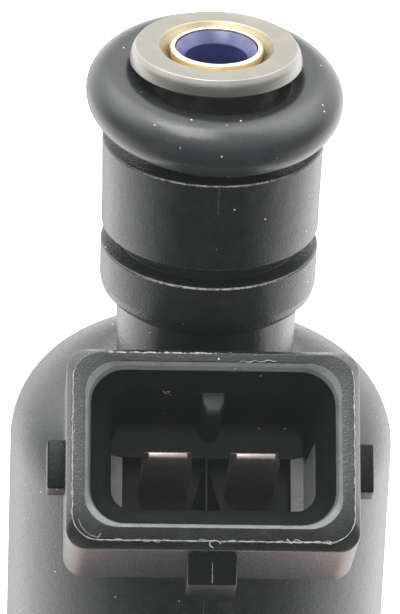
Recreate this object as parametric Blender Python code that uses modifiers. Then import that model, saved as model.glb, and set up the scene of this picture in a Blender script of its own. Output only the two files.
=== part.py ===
"""Top-feed port fuel injector: steel inlet tube, overmoulded connector cover, coil, armature,
needle and seat, each modelled as its own solid.  Z is the injector axis, the inlet is on top and
the connector leans out over -Y.  The origin is the centre of the lower O-ring."""
import math

import bmesh
import bpy
from mathutils import Vector

MM = 0.001
COLLECTION = "fuel_injector"

# levels along the axis, in millimetres above the lower O-ring
TOP = 64.2
UPPER_RING_Z = 61.0
COLLAR_TOP = 58.49
PLASTIC_BASE = 20.4
HOUSING_TOP = 35.3
HOUSING_BASE = 18.2
POLE_FACE = 23.4
ARMATURE_TOP = 23.2
ARMATURE_BASE = 14.0
SHELL_BASE = 2.1
NOZZLE_TIP = -9.6

# radii, in millimetres
TUBE_R = 3.70
INLET_BORE_R = 2.70
CORE_BORE_R = 1.75
BODY_R = 11.33
NECK_R = 5.2
HOUSING_R = 10.3
SHELL_R = 6.0
RING_MEAN_R = 5.535
RING_SECTION_R = 1.765

# connector: centre of the rim, and its axis tilted up from horizontal
RIM_Y = -13.9
RIM_Z = 45.74
TILT = math.radians(45.3)
AXIS = Vector((0.0, -math.cos(TILT), math.sin(TILT)))
UP = Vector((0.0, math.sin(TILT), math.cos(TILT)))
RIM = Vector((0.0, RIM_Y, RIM_Z))
MOUTH_LIFT = 0.17
FLOOR_DEPTH = 8.3
POCKET_DEPTH = 10.2
TAB_LIFT = 0.07
TAB_TIP_DEPTH = 2.06
TAB_PITCH = 5.0
TAB_WIDTH = 2.8
TAB_THICK = 0.8
LEG_Y = -6.4
LEG_BASE = 33.0

# turned facets
FINE = 48
MEDIUM = 36
SMALL = 24

parts = None
cutters = None
materials = {}


def start():
    """Empty the file and make the two collections."""
    global parts, cutters
    for thing in list(bpy.data.objects):
        bpy.data.objects.remove(thing, do_unlink=True)
    parts = bpy.data.collections.new(COLLECTION)
    cutters = bpy.data.collections.new("cutters")
    for group in (parts, cutters):
        bpy.context.scene.collection.children.link(group)


def material(name, rgb, metallic, roughness):
    """One plain material per kind of surface."""
    if name in materials:
        return materials[name]
    made = bpy.data.materials.new(name)
    made.use_nodes = True
    shader = made.node_tree.nodes["Principled BSDF"]
    shader.inputs["Base Color"].default_value = (*rgb, 1.0)
    shader.inputs["Metallic"].default_value = metallic
    shader.inputs["Roughness"].default_value = roughness
    materials[name] = made
    return made


def own_material(obj, kind):
    """Give a part its own copy of a surface."""
    base = material(*kind)
    made = base.copy()
    made.name = obj.name + "_surface"
    obj.data.materials.append(made)


STEEL = ("steel", (0.55, 0.54, 0.52), 1.0, 0.32)
STAINLESS = ("stainless", (0.62, 0.61, 0.60), 1.0, 0.25)
BRASS = ("brass", (0.78, 0.60, 0.28), 1.0, 0.28)
COPPER = ("copper", (0.72, 0.34, 0.20), 1.0, 0.3)
RUBBER = ("rubber", (0.02, 0.02, 0.02), 0.0, 0.35)
BLACK = ("black plastic", (0.03, 0.033, 0.033), 0.0, 0.5)
BLUE = ("blue plastic", (0.03, 0.06, 0.30), 0.0, 0.4)
BROWN = ("brown plastic", (0.18, 0.09, 0.05), 0.0, 0.5)
MESH = ("mesh", (0.6, 0.6, 0.58), 0.6, 0.5)
TIN = ("tin", (0.66, 0.64, 0.62), 1.0, 0.3)


def place(obj, kind=None):
    """Put a finished part in the parts collection, or a tool shape with the cutters."""
    if kind is None:
        cutters.objects.link(obj)
        obj.hide_render = True
        obj.display_type = "WIRE"
    else:
        parts.objects.link(obj)
        own_material(obj, kind)
        obj.data.shade_smooth()
        obj.data.set_sharp_from_angle(angle=math.radians(32))
    return obj


def turned(name, outline, kind=None, steps=SMALL):
    """Turn an outline of (radius, height) pairs about Z.  An outline that starts and ends on the
    axis stays open there; any other outline is closed into a ring."""
    mesh = bpy.data.meshes.new(name)
    verts = [(r * MM, 0.0, z * MM) for r, z in outline]
    edges = [(i, i + 1) for i in range(len(verts) - 1)]
    on_axis = outline[0][0] == 0.0 and outline[-1][0] == 0.0
    if not on_axis:
        edges.append((len(verts) - 1, 0))
    mesh.from_pydata(verts, edges, [])
    obj = bpy.data.objects.new(name, mesh)
    screw = obj.modifiers.new("turn", "SCREW")
    screw.axis = "Z"
    screw.steps = steps
    screw.render_steps = steps
    screw.use_merge_vertices = True
    screw.merge_threshold = 1e-6
    screw.use_smooth_shade = True
    return place(obj, kind)


def ring_outline(mean, section, height, sides, tall=None):
    """Outline of a ring with a round section, or an oval one when it has its own height."""
    rise = section if tall is None else tall
    points = []
    for i in range(sides):
        turn = math.pi / 2 - math.tau * i / sides
        points.append((mean + section * math.cos(turn), height + rise * math.sin(turn)))
    return points


def loft(name, rings, kind=None):
    """Skin a row of equal rings of points and cap both ends."""
    shape = bmesh.new()
    rows = [[shape.verts.new(Vector(p) * MM) for p in ring] for ring in rings]
    count = len(rings[0])
    for lower, upper in zip(rows, rows[1:]):
        for i in range(count):
            j = (i + 1) % count
            shape.faces.new((lower[i], lower[j], upper[j], upper[i]))
    shape.faces.new(list(reversed(rows[0])))
    shape.faces.new(rows[-1])
    bmesh.ops.recalc_face_normals(shape, faces=shape.faces)
    mesh = bpy.data.meshes.new(name)
    shape.to_mesh(mesh)
    shape.free()
    return place(bpy.data.objects.new(name, mesh), kind)


def box(name, low, high, kind=None):
    """A plain block between two corners."""
    x0, y0, z0 = low
    x1, y1, z1 = high
    rings = [[(x0, y0, z), (x1, y0, z), (x1, y1, z), (x0, y1, z)] for z in (z0, z1)]
    return loft(name, rings, kind)


def socket_point(x, lift, depth):
    """A point in the connector: across, up the rim, and behind the rim."""
    return RIM + Vector((x, 0.0, 0.0)) + UP * lift - AXIS * depth


def rounded_ring(width, height, corner, depth, lift=0.0, shift=0.0, arcs=5):
    """A rounded rectangle across the connector at one depth."""
    ring = []
    centres = ((1, 1, 0), (-1, 1, 1), (-1, -1, 2), (1, -1, 3))
    for sx, sy, quarter in centres:
        for i in range(arcs + 1):
            turn = math.pi / 2 * (quarter + i / arcs)
            x = sx * (width / 2 - corner) + corner * math.cos(turn)
            y = sy * (height / 2 - corner) + corner * math.sin(turn)
            ring.append(socket_point(x + shift, y + lift, depth))
    return ring


def block_ring(width, low, high, depth, shift=0.0):
    """A plain rectangle across the connector at one depth."""
    left = shift - width / 2
    right = shift + width / 2
    corners = ((right, high), (left, high), (left, low), (right, low))
    return [socket_point(x, lift, depth) for x, lift in corners]


def combine(obj, tool, operation):
    """Join a shape to a part, or cut it away."""
    step = obj.modifiers.new(operation.lower() + " " + tool.name, "BOOLEAN")
    step.operation = operation
    step.solver = "EXACT"
    step.object = tool


# ---------------------------------------------------------------- fuel inlet and filter


def inlet_tube():
    outline = [
        (4.59, TOP), (4.97, TOP - 0.42), (4.97, TOP - 0.86), (4.85, TOP - 0.98), (TUBE_R, TOP - 0.98),
        (TUBE_R, 57.3), (3.45, 57.0), (3.45, 56.0), (TUBE_R, 55.7),
        (TUBE_R, POLE_FACE + 0.25), (3.45, POLE_FACE), (CORE_BORE_R, POLE_FACE),
        (CORE_BORE_R, 46.6), (INLET_BORE_R, 47.6), (INLET_BORE_R, TOP - 0.62), (3.32, TOP),
    ]
    turned("inlet_tube", outline, STEEL, FINE)


def filter_pieces():
    collar = [
        (2.50, TOP - 0.03), (2.60, TOP - 0.10), (2.64, TOP - 0.28), (2.64, 56.6), (2.41, 56.6),
        (2.41, TOP - 0.10),
    ]
    turned("filter_collar", collar, BRASS, FINE)
    head = 56.4
    foot = 49.2
    frame = [
        (0.0, 48.6), (2.30, 48.6), (2.30, foot), (2.0, foot), (2.0, head), (2.35, head),
        (2.35, TOP - 0.16), (2.30, TOP - 0.14), (1.80, TOP - 0.72), (1.72, TOP - 3.0),
        (1.45, head - 0.2), (1.45, 49.8), (0.0, 49.8),
    ]
    basket = turned("filter_frame", frame, BLUE)
    low = 50.2
    high = head - 0.7
    combine(basket, box("window_x", (-3, -0.95, low), (3, 0.95, high)), "DIFFERENCE")
    combine(basket, box("window_y", (-0.95, -3, low), (0.95, 3, high)), "DIFFERENCE")
    screen = [(2.20, head - 0.05), (2.20, foot + 0.05), (2.06, foot + 0.05), (2.06, head - 0.05)]
    turned("filter_screen", screen, MESH)


def adjustment_pieces():
    tube = [(1.58, 41.0), (1.70, 40.8), (1.70, 31.2), (1.60, 31.0), (0.95, 31.0), (0.95, 41.0)]
    sleeve = turned("adjustment_tube", tube, STEEL)
    combine(sleeve, box("tube_slit", (-0.18, -2.2, 30.5), (0.18, -0.4, 41.5)), "DIFFERENCE")


def return_spring():
    turns = 8
    per_turn = 12
    low = 20.80
    high = 30.75
    curve = bpy.data.curves.new("return_spring", "CURVE")
    curve.dimensions = "3D"
    curve.bevel_depth = 0.2 * MM
    curve.bevel_resolution = 1
    curve.use_fill_caps = True
    count = turns * per_turn + 1
    spline = curve.splines.new("POLY")
    spline.points.add(count - 1)
    for i, point in enumerate(spline.points):
        share = i / (count - 1)
        eased = share + 0.055 * math.sin(math.tau * share) / math.tau
        turn = math.tau * turns * share
        height = low + (high - low) * eased
        place_at = (1.18 * math.cos(turn) * MM, 1.18 * math.sin(turn) * MM, height * MM)
        point.co = (*place_at, 1.0)
    rod = bpy.data.objects.new("return_spring", curve)
    parts.objects.link(rod)
    own_material(rod, STAINLESS)


# ---------------------------------------------------------------- moving valve


def armature_needle():
    armature = [
        (3.45, ARMATURE_TOP), (3.60, ARMATURE_TOP - 0.2), (3.60, 17.6), (3.35, 17.4), (3.35, 16.4),
        (3.60, 16.2), (3.60, ARMATURE_BASE + 0.3), (3.3, ARMATURE_BASE), (1.05, ARMATURE_BASE),
        (1.05, 20.5), (1.55, 20.5), (1.55, ARMATURE_TOP),
    ]
    slug = turned("armature", armature, STEEL)
    combine(slug, box("armature_port", (-4, -0.45, 18.5), (4, 0.45, 19.4)), "DIFFERENCE")
    needle = [
        (0.0, 18.0), (0.85, 18.0), (1.0, 17.8), (1.0, 11.6), (1.35, 11.4), (1.35, 10.4), (1.0, 10.2),
        (1.0, -6.93), (0.62, -7.3), (0.28, -7.55), (0.0, -7.6),
    ]
    turned("needle_valve", needle, STAINLESS)


# ---------------------------------------------------------------- valve housing, seat and nozzle


def shells():
    sleeve = [
        (4.35, 28.0), (4.35, 21.3), (5.0, 20.85), (5.60, 20.85), (5.60, 19.45), (3.75, 19.45),
        (3.75, 28.0),
    ]
    turned("nonmagnetic_shell", sleeve, STAINLESS)
    shell = [
        (5.9, 20.85), (SHELL_R, 20.7), (SHELL_R, 12.6), (5.7, 12.3), (5.7, 11.3), (SHELL_R, 11.0),
        (SHELL_R, SHELL_BASE + 0.4), (5.6, SHELL_BASE), (3.78, SHELL_BASE), (3.78, 4.2), (5.05, 4.2),
        (5.05, 19.4), (5.66, 19.4), (5.66, 20.85),
    ]
    turned("valve_body_shell", shell, STAINLESS, MEDIUM)
    body = [
        (4.9, 19.35), (5.0, 19.2), (5.0, 4.25), (TUBE_R, 4.25), (TUBE_R, NOZZLE_TIP + 0.5),
        (3.3, NOZZLE_TIP), (2.3, NOZZLE_TIP), (2.3, -9.3), (2.62, -9.3), (2.62, -5.5), (2.0, -5.5),
        (2.0, 11.8), (3.75, 12.6), (3.75, 19.35),
    ]
    turned("valve_body", body, STAINLESS)


def seat_pieces():
    guide = [(2.57, -5.56), (2.57, -6.3), (1.05, -6.3), (1.05, -5.56)]
    plate = turned("needle_guide", guide, STAINLESS)
    for i in range(4):
        turn = math.pi / 4 + i * math.pi / 2
        x = 1.75 * math.cos(turn)
        y = 1.75 * math.sin(turn)
        hole = box("guide_port_%d" % (i + 1), (x - 0.3, y - 0.3, -6.6), (x + 0.3, y + 0.3, -5.3))
        combine(plate, hole, "DIFFERENCE")
    seat = [
        (1.75, -6.36), (2.57, -6.36), (2.57, -6.9), (2.12, -6.9), (2.12, -7.55), (2.57, -7.55),
        (2.57, -8.2), (0.40, -8.2), (0.40, -7.65), (0.47, -7.6),
    ]
    turned("valve_seat", seat, STAINLESS)
    turned("seat_seal_ring", ring_outline(2.37, 0.21, -7.22, 8), RUBBER)
    disk = turned("orifice_disk", [(0.0, -8.26), (2.57, -8.26), (2.57, -8.42), (0.0, -8.42)], STEEL)
    for i in range(4):
        turn = i * math.pi / 2
        x = 0.24 * math.cos(turn)
        y = 0.24 * math.sin(turn)
        hole = box("orifice_%d" % (i + 1), (x - 0.07, y - 0.07, -8.6), (x + 0.07, y + 0.07, -8.1))
        combine(disk, hole, "DIFFERENCE")
    turned("seat_retainer", [(2.57, -8.48), (2.57, -9.24), (1.6, -9.24), (1.1, -8.48)], STAINLESS)


def seal_rings():
    turned("upper_o_ring", ring_outline(5.52, 1.77, UPPER_RING_Z, 14, 1.66), RUBBER, FINE)
    turned("lower_o_ring", ring_outline(RING_MEAN_R, RING_SECTION_R, 0.0, 12), RUBBER, MEDIUM)
    keeper = [
        (6.1, -2.05), (6.3, -2.25), (6.3, -2.9), (5.5, -3.7), (3.78, -3.7), (3.78, -2.05),
    ]
    turned("lower_ring_retainer", keeper, BLACK, MEDIUM)


# ---------------------------------------------------------------- coil


def coil_pieces():
    bobbin = [
        (9.1, 33.8), (9.1, 32.9), (5.3, 32.9), (5.3, 22.0), (9.1, 22.0), (9.1, 21.1), (5.1, 21.1),
        (4.45, 21.5), (4.45, 28.2), (3.82, 28.2), (3.82, 33.8),
    ]
    former = turned("coil_bobbin", bobbin, BROWN, MEDIUM)
    combine(former, box("bobbin_tower", (-4.15, -7.5, 33.4), (4.15, -5.3, 35.2)), "UNION")
    for side, sign in (("left", -1), ("right", 1)):
        x = sign * TAB_PITCH / 2
        low = (x - TAB_WIDTH / 2 - 0.04, LEG_Y - 0.44, LEG_BASE - 0.04)
        high = (x + TAB_WIDTH / 2 + 0.04, LEG_Y + 0.44, 36.0)
        combine(former, box("leg_slot_" + side, low, high), "DIFFERENCE")
    winding = [(8.5, 32.8), (8.7, 32.6), (8.7, 22.3), (8.5, 22.1), (5.36, 22.1), (5.36, 32.8)]
    turned("coil_winding", winding, COPPER, MEDIUM)
    cup = [
        (10.1, HOUSING_TOP), (HOUSING_R, HOUSING_TOP - 0.2), (HOUSING_R, HOUSING_BASE + 0.8),
        (9.6, HOUSING_BASE), (6.06, HOUSING_BASE), (6.06, 20.9), (9.3, 20.9), (9.3, HOUSING_TOP),
    ]
    turned("coil_housing", cup, STEEL, MEDIUM)
    washer = [(9.24, HOUSING_TOP), (9.24, 33.9), (3.82, 33.9), (3.82, HOUSING_TOP)]
    plate = turned("flux_washer", washer, STEEL, MEDIUM)
    combine(plate, box("washer_slot", (-4.35, -7.7, 33), (4.35, -5.1, 36)), "DIFFERENCE")


# ---------------------------------------------------------------- terminals and connector cover


def terminal_rings(sign, spare, start):
    """Rings of a blade that runs down the socket and turns down into the bobbin."""
    x = sign * TAB_PITCH / 2
    half = TAB_WIDTH / 2 + spare
    thick = TAB_THICK / 2 + spare
    rings = []
    bend_depth = (LEG_Y - RIM_Y - UP.y * TAB_LIFT) / -AXIS.y
    if start is None:
        stations = ((TAB_TIP_DEPTH, 1.1, 0.15), (2.9, 1.4, 0.4))
    else:
        stations = ((start, half, thick),)
    for depth, wide, deep in stations:
        centre = socket_point(x, TAB_LIFT, depth)
        rings.append((centre, UP, wide, deep))
    corner = socket_point(x, TAB_LIFT, bend_depth)
    across = UP + Vector((0.0, 1.0, 0.0))
    mitre = across / (1.0 + UP.y)
    rings.append((corner, mitre, half, thick))
    base = LEG_BASE if start is None else 34.6
    rings.append((Vector((x, LEG_Y, base)), Vector((0.0, 1.0, 0.0)), half, thick))
    result = []
    for centre, side, wide, deep in rings:
        sway = Vector((wide, 0.0, 0.0))
        lean = side * deep
        result.append([centre + sway + lean, centre - sway + lean, centre - sway - lean,
                       centre + sway - lean])
    return result


def terminals():
    loft("terminal_left", terminal_rings(-1, 0.0, None), TIN)
    loft("terminal_right", terminal_rings(1, 0.0, None), TIN)


def cover_outline():
    """Outer shape of the plastic: collar, clip groove, lower ring, neck, dome and body."""
    outline = [
        (0.0, COLLAR_TOP), (6.22, COLLAR_TOP), (6.40, 58.30), (6.27, 53.06), (6.17, 52.96),
        (5.20, 52.96), (5.20, 51.84), (6.17, 51.84), (6.29, 51.74), (6.27, 49.3), (6.18, 48.68),
        (5.91, 48.2), (5.51, 47.82), (NECK_R, 47.62), (NECK_R, 44.3), (5.4, 43.85), (5.9, 43.62),
        (6.9, 43.45),
    ]
    for degrees in (72, 58, 45, 33, 22, 11, 0):
        turn = math.radians(degrees)
        outline.append((6.13 + 5.2 * math.cos(turn), 38.3 + 5.2 * math.sin(turn)))
    outline += [(BODY_R, PLASTIC_BASE + 0.6), (10.9, PLASTIC_BASE), (0.0, PLASTIC_BASE)]
    return outline


def connector_cover():
    cover = turned("connector_cover", cover_outline(), BLACK, FINE)
    hood = loft("hood", [
        rounded_ring(15.95, 10.95, 1.5, 0.0),
        rounded_ring(16.65, 11.75, 1.2, 0.63),
        rounded_ring(16.65, 11.75, 1.2, 7.0),
        rounded_ring(14.0, 9.0, 1.2, 7.5),
        rounded_ring(14.0, 9.0, 1.2, 11.4),
    ])
    combine(cover, hood, "UNION")
    combine(cover, loft("lower_latch", [
        [socket_point(x, lift, depth) for x, lift, depth in
         ((1.36, -5.6, 1.4), (-1.36, -5.6, 1.4), (-1.36, -7.42, 2.0), (1.36, -7.42, 2.0))],
        [socket_point(x, lift, depth) for x, lift, depth in
         ((1.43, -5.6, 1.6), (-1.43, -5.6, 1.6), (-1.43, -7.5, 2.2), (1.43, -7.5, 2.2))],
        block_ring(2.86, -7.5, -5.6, 4.8),
    ]), "UNION")
    combine(cover, loft("side_latches", [
        block_ring(18.55, -1.58, 1.26, 3.4), block_ring(18.75, -1.63, 1.31, 3.6),
        block_ring(18.75, -1.63, 1.31, 5.0),
    ]), "UNION")
    combine(cover, loft("socket_cavity", [
        rounded_ring(14.4, 9.5, 2.25, -0.1, MOUTH_LIFT),
        rounded_ring(14.15, 9.25, 2.15, 0.12, MOUTH_LIFT),
        rounded_ring(13.9, 9.0, 2.1, 0.5, MOUTH_LIFT),
        rounded_ring(11.75, 6.9, 1.0, 1.1, MOUTH_LIFT),
        rounded_ring(11.75, 6.9, 1.0, FLOOR_DEPTH, MOUTH_LIFT),
    ]), "DIFFERENCE")
    rib = loft("key_rib", [
        [socket_point(x, lift, depth) for x, lift in
         ((0.68, 3.9), (-0.68, 3.9), (-0.62, 3.4), (-0.4, 2.4), (0.4, 2.4), (0.62, 3.4))]
        for depth in (1.3, FLOOR_DEPTH + 0.4)
    ])
    combine(cover, rib, "UNION")
    for side, sign in (("left", -1), ("right", 1)):
        pocket = loft("pocket_" + side, [
            block_ring(4.6, -1.7, 1.4, 8.0, sign * 2.5),
            block_ring(4.6, -1.7, 1.4, POCKET_DEPTH, sign * 2.5),
        ])
        combine(cover, pocket, "DIFFERENCE")
        slot = loft("terminal_slot_" + side, terminal_rings(sign, 0.05, 9.4))
        combine(cover, slot, "DIFFERENCE")
    space = [(0.0, 60.0), (3.76, 60.0), (3.76, 35.45), (10.36, 35.45), (10.36, 19.0), (0.0, 19.0)]
    combine(cover, turned("inner_space", space, None, MEDIUM), "DIFFERENCE")


def main():
    start()
    inlet_tube()
    filter_pieces()
    adjustment_pieces()
    return_spring()
    armature_needle()
    shells()
    seat_pieces()
    seal_rings()
    coil_pieces()
    terminals()
    connector_cover()


main()
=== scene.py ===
"""A top-feed port fuel injector on a pale studio floor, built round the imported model.

Lengths in the tables below are in millimetres above the lower O-ring, or out from the axis.
"""
import math

import bmesh
import bpy
from mathutils import Matrix, Vector, noise


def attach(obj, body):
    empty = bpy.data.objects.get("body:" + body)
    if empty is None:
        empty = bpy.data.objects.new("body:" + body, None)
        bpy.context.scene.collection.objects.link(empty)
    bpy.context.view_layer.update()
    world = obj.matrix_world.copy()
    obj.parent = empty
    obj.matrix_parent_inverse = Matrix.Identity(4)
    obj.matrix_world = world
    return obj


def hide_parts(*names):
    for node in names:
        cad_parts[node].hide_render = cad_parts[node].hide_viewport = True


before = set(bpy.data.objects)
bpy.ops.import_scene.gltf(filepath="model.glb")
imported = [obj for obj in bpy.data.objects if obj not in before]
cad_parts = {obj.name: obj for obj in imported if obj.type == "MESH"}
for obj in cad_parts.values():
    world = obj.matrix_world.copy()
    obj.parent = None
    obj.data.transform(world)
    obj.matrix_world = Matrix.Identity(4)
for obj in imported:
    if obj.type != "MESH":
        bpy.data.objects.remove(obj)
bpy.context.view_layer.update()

MM = 0.001
BODY = "injector_body"
TOP = 64.2
TUBE_R = 3.70

# the connector: centre of its rim, the way it faces, and the direction up the rim
TILT = math.radians(45.3)
AXIS = Vector((0.0, -math.cos(TILT), math.sin(TILT)))
UP = Vector((0.0, math.sin(TILT), math.cos(TILT)))
RIM = Vector((0.0, -13.9, 45.74))
HOOD_W = 16.65
HOOD_H = 11.75
MOUTH_LIFT = 0.17
FLOOR_DEPTH = 8.3
POCKET_DEPTH = 10.2
TAB_LIFT = 0.07
LEG_Y = -6.4
LEG_BASE = 33.0

# the lip round the socket's mouth: how far it is inset from the hood, its corners and its lift
LIP_INSET = 1.37
LIP_CORNER = 2.0


# ------------------------------------------------------------------ node helpers


class Nodes:
    """Short calls for building a material's node tree."""

    def __init__(self, name):
        self.material = bpy.data.materials.new(name)
        self.material.use_nodes = True
        self.tree = self.material.node_tree
        self.shader = self.tree.nodes["Principled BSDF"]
        self.coords = self.tree.nodes.new("ShaderNodeTexCoord").outputs["Object"]
        split = self.tree.nodes.new("ShaderNodeSeparateXYZ")
        self.tree.links.new(self.coords, split.inputs[0])
        self.x, self.y, self.z = split.outputs

    def plug(self, socket, value):
        if hasattr(value, "is_linked"):
            self.tree.links.new(value, socket)
        else:
            socket.default_value = value

    def math(self, operation, a, b=0.0):
        node = self.tree.nodes.new("ShaderNodeMath")
        node.operation = operation
        self.plug(node.inputs[0], a)
        self.plug(node.inputs[1], b)
        return node.outputs[0]

    def radius(self):
        square = self.math("ADD", self.math("POWER", self.x, 2.0), self.math("POWER", self.y, 2.0))
        return self.math("SQRT", square)

    def vector(self, x, y, z):
        node = self.tree.nodes.new("ShaderNodeCombineXYZ")
        for socket, value in zip(node.inputs, (x, y, z)):
            self.plug(socket, value)
        return node.outputs[0]

    def noise(self, scale, detail=2.0, rough=0.5, vector=None):
        """Noise with features about `scale` millimetres across."""
        node = self.tree.nodes.new("ShaderNodeTexNoise")
        self.plug(node.inputs["Vector"], self.coords if vector is None else vector)
        node.inputs["Scale"].default_value = 1.0 / (scale * MM)
        node.inputs["Detail"].default_value = detail
        node.inputs["Roughness"].default_value = rough
        return node.outputs["Fac"]

    def ramp(self, value, low, high):
        node = self.tree.nodes.new("ShaderNodeMapRange")
        node.clamp = True
        self.plug(node.inputs["Value"], value)
        node.inputs["From Min"].default_value = low
        node.inputs["From Max"].default_value = high
        return node.outputs["Result"]

    def ease(self, value, start, stop, low, high):
        """From low to high, smoothly, as the value goes from start to stop."""
        node = self.tree.nodes.new("ShaderNodeMapRange")
        node.interpolation_type = "SMOOTHSTEP"
        sockets = ("Value", "From Min", "From Max", "To Min", "To Max")
        for key, part in zip(sockets, (value, start, stop, low, high)):
            self.plug(node.inputs[key], part)
        return node.outputs["Result"]

    def mix(self, share, a, b):
        node = self.tree.nodes.new("ShaderNodeMix")
        node.data_type = "RGBA"
        self.plug(node.inputs["Factor"], share)
        for socket, value in ((node.inputs["A"], a), (node.inputs["B"], b)):
            self.plug(socket, value if hasattr(value, "is_linked") else (*value, 1.0))
        return node.outputs["Result"]

    def specks(self, spacing, size, share):
        """Dust: small dots in some of the cells of a Voronoi pattern."""
        node = self.tree.nodes.new("ShaderNodeTexVoronoi")
        self.plug(node.inputs["Vector"], self.coords)
        node.inputs["Scale"].default_value = 1.0 / (spacing * MM)
        near = self.math("LESS_THAN", node.outputs["Distance"], size / spacing)
        split = self.tree.nodes.new("ShaderNodeSeparateColor")
        self.tree.links.new(node.outputs["Color"], split.inputs[0])
        chosen = self.math("LESS_THAN", split.outputs[0], share)
        return self.math("MULTIPLY", near, chosen)

    def bump(self, height, distance):
        node = self.tree.nodes.new("ShaderNodeBump")
        node.inputs["Strength"].default_value = 1.0
        node.inputs["Distance"].default_value = distance * MM
        self.plug(node.inputs["Height"], height)
        self.plug(self.shader.inputs["Normal"], node.outputs["Normal"])

    def set(self, **values):
        for key, value in values.items():
            self.plug(self.shader.inputs[key.replace("_", " ")], value)


# ------------------------------------------------------------------ materials


def band(nodes, value, centre, half):
    """One inside a narrow band of a value in metres, fading to nothing at its edges."""
    off = nodes.math("ABSOLUTE", nodes.math("SUBTRACT", value, centre * MM))
    return nodes.ramp(off, half * MM, half * 0.4 * MM)


def painted_edge_highlights(n, base, highlight_edges):
    """Painted highlights: pale ragged lines on the front of the cover's edges, at the levels given."""
    for level, half, strength in highlight_edges:
        ragged = n.ramp(n.noise(0.22, 3.0, 0.7), 0.36, 0.56)
        front = n.math("MULTIPLY", n.ramp(n.y, -4.4 * MM, -5.9 * MM), ragged)
        rim = n.ramp(n.radius(), 6.05 * MM, 6.16 * MM)
        line = n.math("MULTIPLY", n.math("MULTIPLY", band(n, n.z, level, half), front), rim)
        base = n.mix(n.math("MULTIPLY", line, strength), base, (0.34, 0.34, 0.33))
    return base


def smooth_neck(n, rough):
    """The cover's neck is glossier than the rest of it."""
    inside = n.ramp(n.radius(), 5.42 * MM, 5.3 * MM)
    below = n.ramp(n.z, 48.3 * MM, 48.1 * MM)
    neck = n.math("MULTIPLY", inside, below)
    return n.math("SUBTRACT", rough, n.math("MULTIPLY", neck, 0.12))


def black_plastic(name, tone=(0.0042, 0.0054, 0.0054), rough=0.36, grain=0.020, highlight_edges=(), gloss=0.58):
    """Glass-filled moulded plastic: fine mottled skin, dust, and painted highlights as pale ragged lines
    on any edges given.
    """
    n = Nodes(name)
    mottle = n.noise(0.9, 4.0, 0.6)
    fine = n.noise(0.11, 3.0, 0.6)
    base = n.mix(n.ramp(mottle, 0.35, 0.7), tone, tuple(c * 1.4 + 0.002 for c in tone))
    dust = n.specks(0.9, 0.05, 0.40)
    scuff = n.math("MULTIPLY", n.ramp(n.noise(2.2, 5.0, 0.7), 0.58, 0.74), 0.05)
    base = n.mix(scuff, base, (0.20, 0.20, 0.19))
    # painted highlights: pale ragged lines along the front of the given edges
    base = painted_edge_highlights(n, base, highlight_edges)
    base = n.mix(n.math("MULTIPLY", dust, 0.8), base, (0.62, 0.60, 0.57))
    n.set(Base_Color=base, Specular_IOR_Level=gloss)
    skin_rough = n.math("ADD", n.math("MULTIPLY", fine, 0.14), rough - 0.07)
    n.set(Roughness=smooth_neck(n, skin_rough) if highlight_edges else skin_rough)
    n.bump(n.math("ADD", fine, n.math("MULTIPLY", mottle, 0.8)), grain)
    return n.material


def rubber():
    """Moulded rubber: dark with paler patches and dust."""
    n = Nodes("ring rubber")
    fine = n.noise(0.5, 4.0, 0.6)
    dust = n.specks(0.8, 0.055, 0.80)
    pale = n.ramp(n.noise(3.0, 4.0, 0.6), 0.55, 0.8)
    base = n.mix(n.math("MULTIPLY", pale, 0.12), (0.012, 0.013, 0.014), (0.07, 0.07, 0.07))
    base = n.mix(n.math("MULTIPLY", dust, 0.75), base, (0.6, 0.58, 0.55))
    n.set(Base_Color=base, Specular_IOR_Level=0.45)
    n.set(Roughness=n.math("ADD", n.math("MULTIPLY", fine, 0.10), 0.21))
    n.bump(fine, 0.012)
    return n.material


def turned_steel(name, tone, rough=0.27, lines=0.05, depth=0.0035):
    """Machined steel: rings left by the tool round the axis, slight tarnish and small marks."""
    n = Nodes(name)
    rings = n.vector(n.radius(), 0.0, n.z)
    cut = n.noise(lines, 2.0, 0.6, rings)
    cloud = n.noise(1.6, 4.0, 0.6)
    dark = tuple(c * 0.72 for c in tone)
    base = n.mix(n.ramp(cut, 0.3, 0.75), dark, tone)
    tarnish = n.math("MULTIPLY", n.ramp(cloud, 0.5, 0.75), 0.25)
    base = n.mix(tarnish, base, (0.48, 0.42, 0.33))
    n.set(Base_Color=base, Metallic=1.0)
    n.set(Roughness=n.math("ADD", n.math("MULTIPLY", cloud, 0.14), rough - 0.07))
    n.bump(cut, depth)
    return n.material


def dark_dull_tube_steel():
    """The same turned steel made very dark, dull and not metallic, for the tube below the flange."""
    look = turned_steel("tube steel", (0.035, 0.035, 0.033), 0.65)
    shader = look.node_tree.nodes["Principled BSDF"]
    shader.inputs["Metallic"].default_value = 0.0
    shader.inputs["Specular IOR Level"].default_value = 0.1
    return look


def brass():
    n = Nodes("filter brass")
    cut = n.noise(0.06, 2.0, 0.6, n.vector(n.radius(), 0.0, n.z))
    cloud = n.noise(0.8, 3.0, 0.6)
    n.set(Base_Color=n.mix(n.ramp(cloud, 0.4, 0.7), (0.84, 0.73, 0.47), (0.74, 0.61, 0.35)))
    n.set(Metallic=1.0, Roughness=n.math("ADD", n.math("MULTIPLY", cloud, 0.12), 0.12))
    n.bump(cut, 0.002)
    return n.material


def blue_plastic():
    n = Nodes("filter plastic")
    cloud = n.noise(0.7, 4.0, 0.6)
    n.set(Base_Color=n.mix(n.ramp(cloud, 0.3, 0.7), (0.019, 0.025, 0.105), (0.028, 0.037, 0.145)))
    n.set(Roughness=0.30, Specular_IOR_Level=0.7, Coat_Weight=0.2, Coat_Roughness=0.25)
    n.bump(n.noise(0.2, 3.0, 0.6), 0.006)
    return n.material


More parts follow.
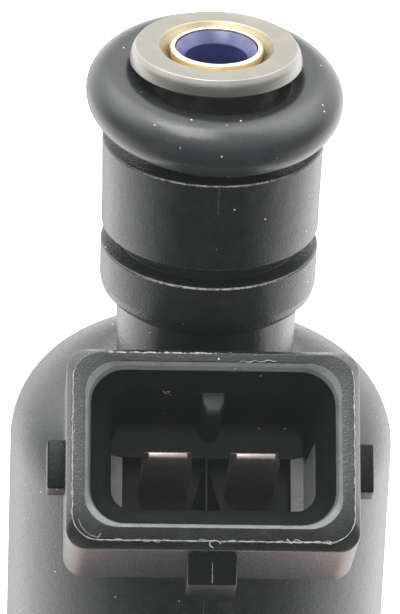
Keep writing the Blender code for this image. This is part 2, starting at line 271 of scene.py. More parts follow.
def blade_metal(name, tone, rough):
    n = Nodes(name)
    drawn = n.noise(0.08, 3.0, 0.6, n.vector(n.x, 0.0, 0.0))
    cloud = n.noise(0.6, 4.0, 0.6)
    n.set(Base_Color=n.mix(n.ramp(cloud, 0.35, 0.7), tone, tuple(c * 0.7 for c in tone)))
    n.set(Metallic=1.0, Roughness=n.math("ADD", n.math("MULTIPLY", cloud, 0.15), rough))
    n.bump(drawn, 0.003)
    return n.material


def winding_copper():
    n = Nodes("winding copper")
    turns = n.math("SINE", n.math("MULTIPLY", n.z, math.tau / (0.22 * MM)))
    # darker in the grooves between the turns and lighter on their crests: painted shade and painted light
    n.set(Base_Color=n.mix(n.ramp(turns, -1.0, 1.0), (0.30, 0.09, 0.03), (0.75, 0.30, 0.12)))
    n.set(Metallic=0.8, Roughness=0.28, Coat_Weight=0.6)
    n.bump(turns, 0.06)
    return n.material


def woven_screen():
    n = Nodes("screen mesh")
    round_screen = n.math("MULTIPLY", n.math("ARCTAN2", n.y, n.x), 2.1 * MM)
    weave = [n.math("SINE", n.math("MULTIPLY", value, math.tau / (0.16 * MM)))
             for value in (n.z, round_screen)]
    cross = n.math("MAXIMUM", *weave)
    # dark between the wires and pale on them: the mesh openings are painted shade
    n.set(Base_Color=n.mix(n.ramp(cross, -0.2, 1.0), (0.05, 0.05, 0.05), (0.6, 0.6, 0.58)))
    n.set(Metallic=0.7, Roughness=0.45)
    n.bump(cross, 0.03)
    return n.material


# ------------------------------------------------------------------ shape helpers


def rounded(points, closed=True, segments=6):
    """Round the corners of an outline.

    Each point is (radius, height, corner radius, ...); any further numbers are carried along.
    """
    count = len(points)
    result = []
    for i, point in enumerate(points):
        here = Vector(point[:2])
        size = point[2]
        extra = point[3:]
        edge = not closed and i in (0, count - 1)
        if size <= 0.0 or edge:
            result.append((here.x, here.y, *extra))
            continue
        before = Vector(points[i - 1][:2]) - here
        after = Vector(points[(i + 1) % count][:2]) - here
        opening = before.angle(after)
        if opening > math.pi - 0.02:
            result.append((here.x, here.y, *extra))
            continue
        reach = min(size / math.tan(opening / 2), before.length * 0.48, after.length * 0.48)
        size = reach * math.tan(opening / 2)
        start = here + before.normalized() * reach
        inward = (before.normalized() + after.normalized()).normalized()
        middle = here + inward * (size / math.sin(opening / 2))
        first = start - middle
        last = here + after.normalized() * reach - middle
        sweep = first.angle_signed(last)
        for k in range(segments + 1):
            spoke = Matrix.Rotation(-sweep * (k / segments), 2) @ first
            result.append((*(middle + spoke), *extra))
    return result


def finish(obj, body, node, material, angle=38.0):
    """Colour and shade a piece, ride it on its body and hide the CAD solid it stands for."""
    obj.data.materials.clear()
    obj.data.materials.append(material)
    obj.data.shade_smooth()
    obj.data.set_sharp_from_angle(angle=math.radians(angle))
    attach(obj, body)
    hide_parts(node)
    return obj


def mesh_object(name, verts, faces):
    mesh = bpy.data.meshes.new(name)
    mesh.from_pydata(verts, [], faces)
    shape = bmesh.new()
    shape.from_mesh(mesh)
    bmesh.ops.remove_doubles(shape, verts=shape.verts, dist=1e-8)
    bmesh.ops.dissolve_degenerate(shape, edges=shape.edges, dist=1e-9)
    bmesh.ops.recalc_face_normals(shape, faces=shape.faces)
    shape.to_mesh(mesh)
    shape.free()
    obj = bpy.data.objects.new(name, mesh)
    bpy.context.scene.collection.objects.link(obj)
    return obj


def lathe(name, outline, steps=160, closed=True):
    """Turn an outline of (radius, height) in millimetres about the axis."""
    verts = []
    for k in range(steps):
        turn = math.tau * k / steps
        for point in outline:
            r, z = point[0], point[1]
            verts.append((r * math.cos(turn) * MM, r * math.sin(turn) * MM, z * MM))
    count = len(outline)
    faces = []
    last = count if closed else count - 1
    for k in range(steps):
        here = k * count
        there = (k + 1) % steps * count
        for i in range(last):
            j = (i + 1) % count
            faces.append((here + i, here + j, there + j, there + i))
    return mesh_object(name, verts, faces)


def skin(name, rings):
    """Skin a row of equal rings of points in millimetres, and close both ends."""
    verts = [tuple(Vector(p) * MM) for ring in rings for p in ring]
    count = len(rings[0])
    faces = []
    for k in range(len(rings) - 1):
        for i in range(count):
            j = (i + 1) % count
            faces.append((k * count + i, k * count + j, (k + 1) * count + j, (k + 1) * count + i))
    end = (len(rings) - 1) * count
    faces.append(tuple(range(count)))
    faces.append(tuple(range(end, end + count)))
    return mesh_object(name, verts, faces)


def apply_modifiers(obj):
    graph = bpy.context.evaluated_depsgraph_get()
    mesh = bpy.data.meshes.new_from_object(obj.evaluated_get(graph))
    old = obj.data
    obj.modifiers.clear()
    obj.data = mesh
    bpy.data.meshes.remove(old)


def carve(obj, tools):
    """Cut shapes out of a piece and throw the shapes away."""
    for tool in tools:
        step = obj.modifiers.new("cut", "BOOLEAN")
        step.operation = "DIFFERENCE"
        step.solver = "EXACT"
        step.object = tool
    apply_modifiers(obj)
    for tool in tools:
        bpy.data.objects.remove(tool, do_unlink=True)


def soften(obj, width, segments=3, angle=30.0):
    """Bevel the sharp edges of a piece."""
    step = obj.modifiers.new("soften", "BEVEL")
    step.width = width * MM
    step.segments = segments
    step.limit_method = "ANGLE"
    step.angle_limit = math.radians(angle)
    step.harden_normals = False
    apply_modifiers(obj)


def socket_point(x, lift, depth):
    return RIM + Vector((x, 0.0, 0.0)) + UP * lift - AXIS * depth


def rim_ring(width, height, corner, depth, lift, arcs=9, sides=6):
    """A rounded rectangle across the connector, with points along its straight sides too."""
    flat = []
    for sx, sy, quarter in ((1, 1, 0), (-1, 1, 1), (-1, -1, 2), (1, -1, 3)):
        arc = []
        for i in range(arcs + 1):
            turn = math.pi / 2 * (quarter + i / arcs)
            arc.append((sx * (width / 2 - corner) + corner * math.cos(turn),
                        sy * (height / 2 - corner) + corner * math.sin(turn)))
        flat.append(arc)
    ring = []
    for quarter, arc in enumerate(flat):
        ring += arc
        start, stop = arc[-1], flat[(quarter + 1) % 4][0]
        for i in range(1, sides):
            share = i / sides
            ring.append((start[0] + (stop[0] - start[0]) * share,
                         start[1] + (stop[1] - start[1]) * share))
    return [socket_point(x, y + lift, depth) for x, y in ring]


def block_ring(left, right, low, high, depth):
    return [socket_point(x, lift, depth) for x, lift in
            ((right, high), (left, high), (left, low), (right, low))]


# ------------------------------------------------------------------ metal and rubber pieces


def ring(mean, across, rise, count=48):
    """The oval section of an O-ring, about level zero."""
    turns = [math.tau * i / count for i in range(count)]
    return [(mean + across * math.cos(turn), -rise * math.sin(turn)) for turn in turns]


def inlet(steel, tube_steel, bore_brass_reflection_steel, edge_steel):
    """Flange, tube and bore in one turned piece, with the groove that holds the cover."""
    outline = rounded([
        (4.62, TOP, 0.05), (4.84, TOP - 0.33, 0.9), (4.97, TOP - 0.90, 0.08), (4.88, TOP - 0.98, 0.04),
        (TUBE_R, TOP - 0.98, 0.2), (TUBE_R, 57.3, 0.0), (3.45, 57.0, 0.0), (3.45, 56.0, 0.0),
        (TUBE_R, 55.7, 0.0), (TUBE_R, 23.65, 0.0), (3.45, 23.4, 0.0), (1.75, 23.4, 0.0),
        (1.75, 46.6, 0.0), (2.70, 47.6, 0.0), (2.70, TOP - 0.62, 0.12), (3.32, TOP, 0.07),
    ])
    piece = finish(lathe("inlet_flange_and_tube", outline, 200), BODY, "inlet_tube", steel)
    for look in (tube_steel, bore_brass_reflection_steel, edge_steel):
        piece.data.materials.append(look)
    for face in piece.data.polygons:
        radius = face.center.xy.length / MM
        height = face.center.z / MM
        if height < TOP - 0.97:
            face.material_index = 1
        # the bore's bevel and top get gold-brown steel: painted reflection of the brass collar
        elif radius < 3.3 and face.normal.z > 0.1:
            face.material_index = 2
        elif radius > 4.66:
            face.material_index = 3


def filter_pieces(brass_look, blue_look):
    lip = rounded([
        (2.47, TOP + 0.02, 0.12), (2.69, TOP - 0.10, 0.20), (2.66, 56.6, 0.0), (2.38, 56.6, 0.0),
        (2.37, TOP - 0.06, 0.08),
    ])
    finish(lathe("filter_brass_collar", lip, 160), BODY, "filter_collar", brass_look)
    head = 56.4
    outline = rounded([
        (0.0, 48.6, 0.0), (2.30, 48.6, 0.1), (2.30, 49.2, 0.1), (2.0, 49.2, 0.0), (2.0, head, 0.0),
        (2.33, head, 0.1), (2.33, TOP - 0.16, 0.04), (2.28, TOP - 0.13, 0.04), (1.76, TOP - 0.72, 0.18),
        (1.72, TOP - 3.0, 0.4), (1.45, head - 0.2, 0.0), (1.45, 49.8, 0.0), (0.0, 49.8, 0.0),
    ], closed=False)
    basket = lathe("filter_funnel_and_basket", outline, 128, closed=False)
    low = 50.2 * MM
    high = (head - 0.7) * MM
    windows = []
    for wide, deep in ((3.0, 0.95), (0.95, 3.0)):
        corners = [(-wide, -deep), (wide, -deep), (wide, deep), (-wide, deep)]
        verts = [(x * MM, y * MM, z) for z in (low, high) for x, y in corners]
        faces = [(3, 2, 1, 0), (4, 5, 6, 7)] + [(i, (i + 1) % 4, (i + 1) % 4 + 4, i + 4) for i in range(4)]
        windows.append(mesh_object("window", verts, faces))
    carve(basket, windows)
    finish(basket, BODY, "filter_frame", blue_look, 30.0)


def o_rings(look):
    """The upper ring lies askew in its wide groove, back raised; the lower one sits square."""
    upper = lathe("upper_ring", ring(5.555, 1.85, 1.66), 224)
    for vert in upper.data.vertices:
        lean = (0.104 * vert.co.y - 0.026 * vert.co.x) / MM
        vert.co.z += (61.15 + lean) * MM
    finish(upper, BODY, "upper_o_ring", look)
    finish(lathe("lower_ring", ring(5.535, 1.765, 1.765), 224), BODY, "lower_o_ring", look)


def lower_metal(shell_look, nozzle_look, housing_look, plastic_look):
    shell = rounded([
        (5.9, 20.85, 0.0), (6.0, 20.7, 0.0), (6.0, 12.6, 0.08), (5.7, 12.3, 0.1), (5.7, 11.3, 0.1),
        (6.0, 11.0, 0.08), (6.0, 2.5, 0.12), (5.6, 2.1, 0.08), (3.78, 2.1, 0.05), (3.78, 4.2, 0.0),
        (5.05, 4.2, 0.0), (5.05, 19.4, 0.0), (5.66, 19.4, 0.0), (5.66, 20.85, 0.0),
    ])
    finish(lathe("lower_steel_shell", shell, 192), BODY, "valve_body_shell", shell_look)
    nozzle = rounded([
        (4.9, 19.35, 0.0), (5.0, 19.2, 0.0), (5.0, 4.25, 0.0), (3.70, 4.25, 0.0), (3.70, -9.1, 0.12),
        (3.3, -9.6, 0.10), (2.3, -9.6, 0.10), (2.3, -9.3, 0.03), (2.62, -9.3, 0.0), (2.62, -5.5, 0.0),
        (2.0, -5.5, 0.0), (2.0, 11.8, 0.0), (3.75, 12.6, 0.0), (3.75, 19.35, 0.0),
    ])
    finish(lathe("nozzle_body", nozzle, 160), BODY, "valve_body", nozzle_look)
    cup = rounded([
        (10.1, 35.3, 0.0), (10.3, 35.1, 0.0), (10.3, 19.0, 0.5), (9.6, 18.2, 0.25), (6.06, 18.2, 0.10),
        (6.06, 20.9, 0.0), (9.3, 20.9, 0.0), (9.3, 35.3, 0.0),
    ])
    finish(lathe("steel_coil_cup", cup, 192), BODY, "coil_housing", housing_look)
    keeper = rounded([
        (6.1, -2.05, 0.1), (6.3, -2.25, 0.12), (6.3, -2.9, 0.15), (5.5, -3.7, 0.15), (3.78, -3.7, 0.08),
        (3.78, -2.05, 0.05),
    ])
    finish(lathe("ring_keeper", keeper, 160), BODY, "lower_ring_retainer", plastic_look)


# ------------------------------------------------------------------ plastic cover


def cover_body(look):
    """Collar, clip groove, lower ring, neck, dome and body, open inside for tube and coil."""
    dome = []
    for degrees in range(86, -1, -3):
        turn = math.radians(degrees)
        sag = 0.35 * (max(degrees - 30, 0) / 56) ** 2
        dome.append((6.13 + 5.2 * math.cos(turn), 38.3 + 5.2 * math.sin(turn) - sag, 0.0))
    outline = rounded([
        (3.76, 58.49, 0.08), (6.40, 58.49, 0.14), (6.31, 54.6, 3.0), (6.31, 52.96, 0.13),
        (5.20, 52.96, 0.04), (5.20, 51.84, 0.04), (6.33, 51.84, 0.14), (6.30, 49.5, 0.3),
        (6.17, 48.98, 0.3), (5.91, 48.68, 0.3), (5.52, 48.40, 0.2), (5.27, 48.19, 0.12),
        (5.24, 46.5, 0.0), (5.16, 43.3, 0.6), *dome,
        (11.33, 20.4, 0.5), (10.36, 20.4, 0.12), (10.36, 35.45, 0.3), (3.76, 35.45, 0.1),
    ], segments=8)
    body = lathe("cover_neck_and_body", outline, 224)
    hollow = skin("hollow", [rim_ring(13.2, 8.2, 1.2, depth, 0.0, 4, 1) for depth in (-1.0, 10.8)])
    carve(body, [hollow])
    finish(body, BODY, "connector_cover", look, 35.0)


def socket_stations():
    """Rings from the block inside the body, out over the hood and round the rim to the lip.

    Each is (inset, depth, fillet, corner radius, lift).
    """
    corners = [
        (1.33, 11.4, 0.0, 1.2, 0.0),
        (1.33, 7.5, 0.2, 1.2, 0.0),
        (0.0, 7.05, 0.25, 1.2, 0.0),
        (0.0, 0.62, 0.35, 1.2, 0.0),
        (0.36, 0.0, 0.07, 1.5, 0.0),
        (1.02, 0.02, 0.10, 1.95, MOUTH_LIFT),
        (1.24, 0.20, 0.12, 2.1, MOUTH_LIFT),
        (LIP_INSET, 0.62, 0.0, LIP_CORNER, MOUTH_LIFT),
    ]
    return rounded(corners, closed=False, segments=5)


# Down the socket from the lip: depth, half width, shift to the right, lowest and highest lift,
# corner radius.  A smooth funnel runs in to the inner mouth, and a plain hole from there to the floor.
CAVITY = (
    (1.00, 6.84, 0.00, -4.22, 4.60, 1.90),
    (1.80, 6.45, 0.05, -3.75, 4.40, 1.65),
    (2.50, 6.10, 0.10, -3.28, 4.18, 1.40),
    (3.00, 5.90, 0.14, -2.90, 4.02, 1.22),
    (3.40, 5.84, 0.14, -2.80, 3.94, 1.15),
    (7.40, 5.68, 0.04, -2.70, 3.80, 1.00),
    (7.95, 5.66, 0.02, -2.70, 3.55, 0.95),
    (8.20, 5.64, 0.00, -2.70, 3.15, 0.90),
    (FLOOR_DEPTH, 5.63, 0.00, -2.70, 2.60, 0.85),
    (FLOOR_DEPTH, 4.90, 0.00, -2.60, 1.70, 0.10),
)


def lean_rim(points, inset):
    """Slope the rim's lower face back and down, and its upper face a little forward."""
    reach = max(0.0, min(1.0, (1.15 - inset) / 0.79))
    moved = []
    for point in points:
        lift = (point - RIM).dot(UP)
        low = max(0.0, min(1.0, (-lift - 2.6) / 2.4)) ** 2
        high = max(0.0, min(1.0, (lift - 2.6) / 2.4)) ** 2
        moved.append(point - AXIS * reach * (0.36 * low - 0.06 * high))
    return moved


def cover_socket(look, lip_highlight_look, lit_floor_look, shaded_inside_look):
    """The hood and its socket as one skin, with two terminal pockets sunk in the floor."""
    rings = []
    for inset, depth, corner, lift in socket_stations():
        points = rim_ring(HOOD_W - 2 * inset, HOOD_H - 2 * inset, corner, depth, lift)
        rings.append(lean_rim(points, inset) if depth < 0.3 and inset < 1.15 else points)
    for depth, half, shift, low, high, corner in CAVITY:
        points = rim_ring(2 * half, high - low, corner, depth, (low + high) / 2)
        rings.append([point + Vector((shift, 0.0, 0.0)) for point in points])
    hood = skin("cover_socket", rings)
    pockets = []
    for middle in (-2.445, 2.445):
        ends = [block_ring(middle - 2.395, middle + 2.395, -1.7, 1.62, depth)
                for depth in (8.0, POCKET_DEPTH)]
        pockets.append(skin("pocket", ends))
    inside = lathe("inside", [(0.0, 60.0), (3.76, 60.0), (3.76, 35.45), (10.36, 35.45), (10.36, 19.0),
                              (0.0, 19.0)], 96, closed=False)
    carve(hood, pockets + [inside])
    finish(hood, BODY, "connector_cover", look, 35.0)
    for extra in (lip_highlight_look, lit_floor_look, shaded_inside_look):
        hood.data.materials.append(extra)
    # faces take the lip, floor and inside looks by place: painted highlight, painted light and painted
    # shade
    for face in hood.data.polygons:
        face.material_index = socket_look(face.center / MM - RIM)


def socket_look(offset):
    """Which material a face of the socket has, from its place: hood 0, lip 1 with a painted highlight,
    floor 2 with painted light, deep 3 with painted shade.
    """
    across = abs(offset.x)
    lift = offset.dot(UP) - MOUTH_LIFT
    depth = -offset.dot(AXIS)
    corner = Vector((max(across - (HOOD_W / 2 - LIP_INSET - LIP_CORNER), 0.0),
                     max(abs(lift) - (HOOD_H / 2 - LIP_INSET - LIP_CORNER), 0.0)))
    past = corner.length - LIP_CORNER
    lip_highlight_width = 0.30 + 0.44 * corner.x * corner.y / max(corner.length_squared, 0.01)
    # the band round the mouth gets the pale lip look: painted highlight on the lip's edge
    if -0.02 < past < lip_highlight_width and depth < 0.7:
        return 1
    # the floor's side strips and the lower right wall get the paler floor look: painted light
    lit_floor_side = abs(depth - FLOOR_DEPTH) < 0.02 and 4.9 < across < 6.0 and lift < 1.4
    lit_right_wall = 3.4 < depth < FLOOR_DEPTH and 5.4 < offset.x < 6.2 and lift < 1.4 and past < -0.3
    if lit_floor_side or lit_right_wall:
        return 2
    # the rest of the socket's inside gets the darker pocket look: painted shade
    if 0.7 < depth < POCKET_DEPTH + 0.1 and past < -0.02:
        return 3
    return 0


def pocket_wedge(look):
    """The web between the two terminal pockets spreads towards its foot."""
    rings = []
    for lift, wide in ((-1.2, 0.85), (0.2, 0.42), (1.6, 0.06)):
        rings.append([socket_point(x, lift, depth) for x, depth in
                      ((0.03, 8.32), (-0.03, 8.32), (-wide, 9.3), (wide, 9.3))])
    finish(skin("socket_web_wedge", rings), BODY, "connector_cover", look, 30.0)


def latch(name, points, look):
    tab = skin(name, points)
    soften(tab, 0.14)
    finish(tab, BODY, "connector_cover", look, 50.0)


def slanted_ring(half, ends):
    (top, near), (bottom, far) = ends
    return [socket_point(x, lift, depth) for x, lift, depth in
            ((half, top, near), (-half, top, near), (-half, bottom, far), (half, bottom, far))]


def latches(look):
    """A catch under the hood and one on each side of it."""
    latch("latch_tab_lower", [slanted_ring(1.40, ((-5.4, 1.33), (-7.5, 2.08))),
                              slanted_ring(1.44, ((-5.4, 4.8), (-7.5, 4.8)))], look)
    for side, sign in (("left", -1), ("right", 1)):
        low, high = sorted((sign * 8.0, sign * 9.33))
        wide_low, wide_high = sorted((sign * 8.0, sign * 9.375))
        latch("latch_tab_" + side, [block_ring(low, high, -1.60, 1.28, 3.4),
                                    block_ring(wide_low, wide_high, -1.63, 1.31, 5.0)], look)


def key_rib(look):
    """The rib under the socket's roof that keeps the plug from going in upside down."""
    rings = []
    for depth, drop in ((2.95, 2.95), (3.15, 2.74), (FLOOR_DEPTH + 0.2, 2.6)):
        rings.append([socket_point(x + 0.13, lift, depth) for x, lift in (
            (0.70, 4.3), (-0.70, 4.3), (-0.66, drop + 0.6), (-0.36, drop), (0.36, drop),
            (0.66, drop + 0.6))])
    rib = skin("socket_key_rib", rings)
    soften(rib, 0.22, 4)
    finish(rib, BODY, "connector_cover", look, 50.0)


def thread(name, points, look, base, swell, seed):
    """A ragged thin line of moulding flash along a row of points."""
    curve = bpy.data.curves.new(name, "CURVE")
    curve.dimensions = "3D"
    curve.bevel_depth = base * MM
    curve.bevel_resolution = 1
    curve.use_fill_caps = True
    spline = curve.splines.new("POLY")
    spline.points.add(len(points) - 1)
    for i, point in enumerate(points):
        spline.points[i].co = (*(Vector(point) * MM), 1.0)
        rough = noise.noise(Vector((i * 0.37 + seed, seed, 0.0)))
        spline.points[i].radius = max(0.25, 1.0 + rough * swell * 2.0)
    rod = bpy.data.objects.new(name, curve)
    bpy.context.scene.collection.objects.link(rod)
    graph = bpy.context.evaluated_depsgraph_get()
    mesh = bpy.data.meshes.new_from_object(rod.evaluated_get(graph))
    piece = bpy.data.objects.new(name, mesh)
    bpy.data.objects.remove(rod, do_unlink=True)
    bpy.data.curves.remove(curve)
    bpy.context.scene.collection.objects.link(piece)
    finish(piece, BODY, "connector_cover", look, 60.0)


def even_path(points, step):
    """The same path with a point every `step` millimetres."""
    result = [Vector(points[0])]
    for a, b in zip(points, points[1:]):
        a, b = Vector(a), Vector(b)
        count = max(1, round((b - a).length / step))
        result += [a.lerp(b, (k + 1) / count) for k in range(count)]
    return result


def rim_flash(look):
    """Three ragged pale strands of flash that wander round the rim; their pale colour is partly flash and
    partly a painted highlight of the rim's grainy outer edge.
    """
    loop = rim_ring(15.93, 10.93, 1.5, 0.0, 0.0)
    path = even_path(loop + loop[:1], 0.14)
    for strand, thick in enumerate((0.018, 0.012, 0.012)):
        moved = []
        for i, point in enumerate(path):
            wobble = noise.noise(Vector((i * 0.21, 3.0 + strand, 0.0)))
            side = noise.noise(Vector((i * 0.27, 9.0 + strand, 0.0)))
            out = Vector((point.x, 0.0, 0.0)).normalized()
            stray = AXIS * (0.012 + 0.035 * wobble) + (UP + out) * (0.05 * side * (1 + strand))
            moved.append(point + stray)
        thread("rim_flash_" + str(strand + 1), moved, look, thick, 0.9, 1.0 + strand)


def rim_burrs(look):
    """A burr, a hair and three curls on the rim's face."""
    burr = []
    for k in range(72):
        x = -6.2 + 0.09 * k
        burr.append(socket_point(x, 5.50 + 0.05 * noise.noise(Vector((x * 2.1, 5.0, 0.0))), -0.02))
    thread("rim_burr_upper", burr, look, 0.044, 1.1, 4.0)
    hair = [socket_point(1.45 + 0.15 * k, 5.02 + 0.05 * math.sin(k * 1.3) + 0.008 * k, -0.05)
            for k in range(15)]
    thread("rim_hair_upper", hair, look, 0.020, 0.7, 7.0)
    curl = [socket_point(0.05 + 0.30 * math.cos(t * 0.55), -5.62 + 0.22 * math.sin(t * 0.55), 0.02)
            for t in range(9)]
    thread("rim_curl_lower", curl, look, 0.026, 0.5, 2.0)
    loose = ((-7.62, -4.3), (-7.45, -4.7), (-7.2, -5.0), (-6.9, -5.22), (-6.5, -5.32), (-6.35, -5.1))
    tick = ((4.1, -5.3), (4.35, -5.55), (4.6, -5.3), (5.1, -5.5), (5.9, -5.42), (6.6, -5.56))
    for name, bends, thick, seed in (("rim_curl_left", loose, 0.014, 5.0),
                                     ("rim_curl_right", tick, 0.020, 8.0)):
        path = even_path([socket_point(x, lift, -0.02) for x, lift in bends], 0.15)
        thread(name, path, look, thick, 0.6, seed)


def seams(look, seam_look):
    """Mould seams up the collar's front, down the lower latch and down the body, and a bit of lint."""
    collar = [(0.12 + 0.02 * math.sin(k), 0.002115 * k - 6.39, 58.3 - 0.09 * k) for k in range(20)]
    thread("collar_seam", collar, seam_look, 0.013, 0.6, 3.0)
    front = [socket_point(0.0, -5.9 - 0.1 * k, 1.66) for k in range(14)]
    under = [socket_point(0.0, -7.36, 1.75 + 0.15 * k) for k in range(20)]
    thread("latch_seam", front + under, look, 0.017, 0.7, 6.0)
    lint = ((-2.78, 4.02, 2.6), (-2.62, 3.90, 2.7), (-2.50, 3.92, 2.75), (-2.36, 4.03, 2.7),
            (-2.60, 3.98, 2.6))
    thread("socket_lint", [socket_point(*spot) for spot in lint], look, 0.018, 0.5, 11.0)
    body = [(-0.05, -11.335, 34.0 - 0.5 * k) for k in range(26)]
    thread("body_seam", body, seam_look, 0.012, 0.4, 9.0)


# ------------------------------------------------------------------ terminals


def blade(side, sign, flat_look, edge_look, tip_look):
    """A terminal: tapered tip, flat blade, and a leg bent down into the coil."""
    x = sign * 2.5
    half_wide = 1.4
    half_deep = 0.4
    corner_depth = (LEG_Y - RIM.y - UP.y * TAB_LIFT) / -AXIS.y
    back = Vector((0.0, 1.0, 0.0))
    mitre = (UP + back) / (1.0 + UP.y)
    rows = [
        (socket_point(x, TAB_LIFT, 2.06), UP, 1.10, 0.14),
        (socket_point(x, TAB_LIFT, 2.30), UP, 1.19, 0.22),
    ]
    for depth in (2.9, 3.2, 9.0):
        rows.append((socket_point(x, TAB_LIFT, depth), UP, half_wide, half_deep))
    rows.append((socket_point(x, TAB_LIFT, corner_depth), mitre, half_wide, half_deep))
    rows.append((Vector((x, LEG_Y, LEG_BASE)), back, half_wide, half_deep))
    rings = []
    for centre, across, wide, deep in rows:
        sway = Vector((wide, 0.0, 0.0))
        lean = across * deep
        rings.append([centre + sway + lean, centre - sway + lean, centre - sway - lean,
                      centre + sway - lean])
    piece = skin("blade_" + side, rings)
    soften(piece, 0.05, 2, 25.0)
    finish(piece, BODY, "terminal_" + side, flat_look, 30.0)
    piece.data.materials.append(edge_look)
    piece.data.materials.append(tip_look)
    for face in piece.data.polygons:
        if abs(face.normal.x) > 0.55:
            face.material_index = 1
        elif face.normal.dot(AXIS) > 0.9:
            face.material_index = 2


# ------------------------------------------------------------------ CAD nodes that stay


def dress_nodes():
    """Looks for the inner pieces, which keep their CAD shapes."""
    inner = turned_steel("inner steel", (0.50, 0.50, 0.49), 0.32)
    ground = turned_steel("ground steel", (0.60, 0.60, 0.60), 0.2, 0.03, 0.002)
    looks = {
        "filter_screen": woven_screen(),
        "adjustment_tube": inner,
        "return_spring": blade_metal("spring wire", (0.62, 0.62, 0.62), 0.22),
        "armature": turned_steel("armature steel", (0.52, 0.52, 0.51), 0.3, 0.08, 0.004),
        "needle_valve": ground,
        "nonmagnetic_shell": turned_steel("stainless sleeve", (0.58, 0.58, 0.57), 0.25),
        "needle_guide": ground,
        "valve_seat": turned_steel("seat steel", (0.55, 0.55, 0.54), 0.25),
        "seat_seal_ring": rubber(),
        "orifice_disk": turned_steel("disk steel", (0.6, 0.6, 0.58), 0.3),
        "seat_retainer": turned_steel("retainer steel", (0.52, 0.52, 0.50), 0.3),
        "coil_bobbin": black_plastic("bobbin plastic", (0.10, 0.05, 0.025), 0.45),
        "coil_winding": winding_copper(),
        "flux_washer": turned_steel("washer steel", (0.48, 0.48, 0.46), 0.35),
    }
    for name, look in looks.items():
        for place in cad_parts[name].material_slots:
            place.material = look


# ------------------------------------------------------------------ studio


# Light seen in reflections and bounces: dim in front, where the camera is, bright elsewhere.
FRONT_LOW = 0.05
SIDES_LOW = 2.9
UNDER = 0.8
UNDER_SIDES = 2.2
HORIZON = 0.45
FRONT_LEVEL = 0.30
FRONT_HIGH = 1.6
BACK_LEVEL = 1.25
BACK_HIGH = 2.8
SIDES_LEVEL = 2.2
SIDE_GAIN = 2.0
WARM_LOW = (1.0, 0.68, 0.62)
FLOOR_Z = -9.62
TENT_R = 1.2


def tent_glow(n):
    """Strength of the light tent by direction from the object."""
    rad = math.radians
    turn = n.math("ARCTAN2", n.math("ABSOLUTE", n.x), n.math("MULTIPLY", n.y, -1.0))
    rise = n.math("ARCSINE", n.math("DIVIDE", n.z, TENT_R))
    low = n.ease(turn, rad(38), rad(118), FRONT_LOW, SIDES_LOW)
    low = n.math("MULTIPLY", low, n.ease(turn, rad(135), rad(170), 1.0, 0.3))
    under = n.ease(turn, rad(15), rad(60), UNDER, UNDER_SIDES)
    low = n.ease(rise, rad(-62), rad(-38), under, low)
    back = n.ease(rise, rad(30), rad(52), BACK_LEVEL, BACK_HIGH)
    front = n.ease(rise, rad(8), rad(62), FRONT_LEVEL, FRONT_HIGH)
    high = n.ease(turn, rad(35), rad(95), front, back)
    beside = n.ease(turn, rad(60), rad(105), 1.0, SIDE_GAIN)
    behind = n.ease(turn, rad(138), rad(165), 1.0, 1.0 / SIDE_GAIN)
    high = n.math("MULTIPLY", high, n.math("MULTIPLY", beside, behind))
    horizon = n.ease(turn, rad(35), rad(80), FRONT_LEVEL, HORIZON)
    horizon = n.ease(turn, rad(88), rad(122), horizon, SIDES_LEVEL)
    high = n.ease(rise, rad(14), rad(32), horizon, high)
    strength = n.ease(rise, rad(-16), rad(-2), low, high)
    warmth = n.math("MULTIPLY", n.ease(rise, rad(-58), rad(-34), 1.0, 0.0),
                    n.ease(turn, rad(120), rad(165), 0.0, 1.0))
    return strength, n.mix(warmth, (1.0, 1.0, 1.0), WARM_LOW)


def tent_material():
    n = Nodes("light tent")
    strength, colour = tent_glow(n)
    glow = n.tree.nodes.new("ShaderNodeEmission")
    n.plug(glow.inputs["Strength"], strength)
    n.plug(glow.inputs["Color"], colour)
    n.tree.nodes.remove(n.shader)
    n.plug(n.tree.nodes["Material Output"].inputs["Surface"], glow.outputs[0])
    n.material.cycles.emission_sampling = "NONE"
    return n.material


def stage_mesh(name, fill):
    """A piece of the studio, which isn't part of the object."""
    shape = bmesh.new()
    fill(shape)
    mesh = bpy.data.meshes.new(name)
    shape.to_mesh(mesh)
    shape.free()
    obj = bpy.data.objects.new(name, mesh)
    bpy.context.scene.collection.objects.link(obj)
    return obj


def studio():
    """A pale floor, a pale surround, and a light tent that lights the object but isn't seen."""
    ground = stage_mesh("studio_floor", lambda shape: bmesh.ops.create_grid(
        shape, x_segments=1, y_segments=1, size=2.0))
    ground.location.z = FLOOR_Z * MM
    paint = bpy.data.materials.new("studio floor")
    paint.use_nodes = True
    shader = paint.node_tree.nodes["Principled BSDF"]
    shader.inputs["Base Color"].default_value = (0.86, 0.86, 0.86, 1.0)
    shader.inputs["Roughness"].default_value = 0.9
    shader.inputs["Specular IOR Level"].default_value = 0.1
    shader.inputs["Emission Color"].default_value = (1.0, 1.0, 1.0, 1.0)
    shader.inputs["Emission Strength"].default_value = 0.45
    ground.data.materials.append(paint)
    ground.visible_glossy = False

    tent = stage_mesh("light_tent", lambda shape: bmesh.ops.create_uvsphere(
        shape, u_segments=48, v_segments=32, radius=TENT_R))
    tent.data.materials.append(tent_material())
    tent.visible_camera = False
    tent.visible_shadow = False

    world = bpy.data.worlds.new("studio")
    bpy.context.scene.world = world
    world.use_nodes = True
    background = world.node_tree.nodes["Background"]
    background.inputs["Color"].default_value = (1.0, 1.0, 1.0, 1.0)
    background.inputs["Strength"].default_value = 1.05


def softbox(name, place, aim, size, power):
    light = bpy.data.lights.new(name, "AREA")
    light.shape = "RECTANGLE"
    light.size, light.size_y = (v * MM for v in size)
    light.energy = power
    lamp = bpy.data.objects.new(name, light)
    lamp.location = Vector(place) * MM
    lamp.rotation_euler = (Vector(aim) * MM - lamp.location).to_track_quat("-Z", "Y").to_euler()
    bpy.context.scene.collection.objects.link(lamp)


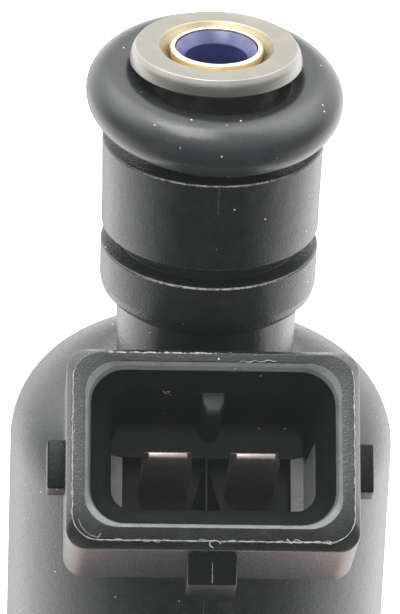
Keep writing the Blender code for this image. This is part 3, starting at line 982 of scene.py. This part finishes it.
def camera():
    """Looks down 28 degrees from 300 mm, a little from the left, rolled 2.3 degrees."""
    elevation, azimuth, roll = (math.radians(v) for v in (28.26, -3.06, 2.29))
    back = Vector((math.sin(azimuth) * math.cos(elevation), -math.cos(azimuth) * math.cos(elevation),
                   math.sin(elevation)))
    right = Vector((math.cos(azimuth), math.sin(azimuth), 0.0))
    above = back.cross(right)
    across = right * math.cos(roll) + above * math.sin(roll)
    upward = above * math.cos(roll) - right * math.sin(roll)
    lens = bpy.data.cameras.new("camera")
    lens.sensor_fit = "HORIZONTAL"
    lens.sensor_width = 36.0
    lens.lens = 460.3
    lens.clip_start = 0.01
    eye = bpy.data.objects.new("camera", lens)
    turn = Matrix((across, upward, back)).transposed().to_4x4()
    turn.translation = (Vector((-0.36, 0.0, 47.23)) + back * 300.0) * MM
    eye.matrix_world = turn
    bpy.context.scene.collection.objects.link(eye)
    bpy.context.scene.camera = eye


# ------------------------------------------------------------------ build


def view_settings():
    """Plain colours, with the darkest tones lifted by the slight haze of the photograph."""
    settings = bpy.context.scene.view_settings
    settings.view_transform = "Standard"
    settings.use_curve_mapping = True
    settings.curve_mapping.black_level = (-0.013, -0.014, -0.014)
    settings.curve_mapping.update()


def metal_and_rubber():
    inlet(turned_steel("inlet steel", (0.335, 0.32, 0.275), 0.34),
          dark_dull_tube_steel(),
          # gold-brown bore steel: painted reflection of the brass collar
          turned_steel("bore steel", (0.30, 0.25, 0.15), 0.40),
          turned_steel("flange edge steel", (0.35, 0.345, 0.315), 0.36, 0.05, 0.006))
    filter_pieces(brass(), blue_plastic())
    o_rings(rubber())
    lower_metal(turned_steel("shell steel", (0.55, 0.54, 0.52), 0.27),
                turned_steel("nozzle steel", (0.57, 0.56, 0.54), 0.24),
                turned_steel("housing steel", (0.50, 0.50, 0.48), 0.30, 0.12),
                black_plastic("retainer plastic", rough=0.4))


def cover():
    # level, half width and strength of each painted edge highlight
    collar_highlight_edges = ((58.40, 0.06, 0.8), (52.98, 0.05, 0.35), (51.76, 0.06, 0.75))
    cover_body(black_plastic("cover plastic", rough=0.26, grain=0.024, highlight_edges=collar_highlight_edges))
    socket_plastic = black_plastic("socket plastic", rough=0.27)
    # the lip, floor and inside looks are paler and darker copies of the socket plastic: painted highlight,
    # painted light and painted shade
    cover_socket(socket_plastic,
                 black_plastic("socket lip", (0.095, 0.10, 0.10), 0.42, gloss=0.35),
                 black_plastic("socket floor", (0.14, 0.145, 0.145), 0.30, 0.02),
                 black_plastic("pocket plastic", (0.002, 0.003, 0.003), 0.5, gloss=0.3))
    pocket_wedge(socket_plastic)
    # a darker, less glossy copy of the cover plastic on the catches: painted shade
    latches(black_plastic("latch plastic", (0.002, 0.003, 0.003), 0.22, gloss=0.12))
    # a paler copy of the cover plastic on the key rib: painted light
    key_rib(black_plastic("rib plastic", (0.010, 0.012, 0.012), 0.4))
    # pale grey for flash, burrs, hair, curls, the latch seam and lint; round the rim's outer edge it is
    # also painted highlight
    flash = black_plastic("flash plastic", (0.22, 0.22, 0.21), 0.6)
    rim_flash(flash)
    rim_burrs(flash)
    seams(flash, black_plastic("seam plastic", (0.07, 0.07, 0.07), 0.6))


def terminals():
    flat = blade_metal("blade tin", (0.58, 0.55, 0.53), 0.44)
    edge = blade_metal("blade copper", (0.78, 0.42, 0.34), 0.25)
    tip = blade_metal("blade tip", (0.21, 0.182, 0.175), 0.30)
    blade("left", -1, flat, edge, tip)
    blade("right", 1, flat, edge, tip)


def main():
    camera()
    studio()
    softbox("softbox_overhead", (-60, -65, 361), (-60, -64.9, 0), (150, 180), 0.72)
    metal_and_rubber()
    cover()
    terminals()
    dress_nodes()
    view_settings()


main()
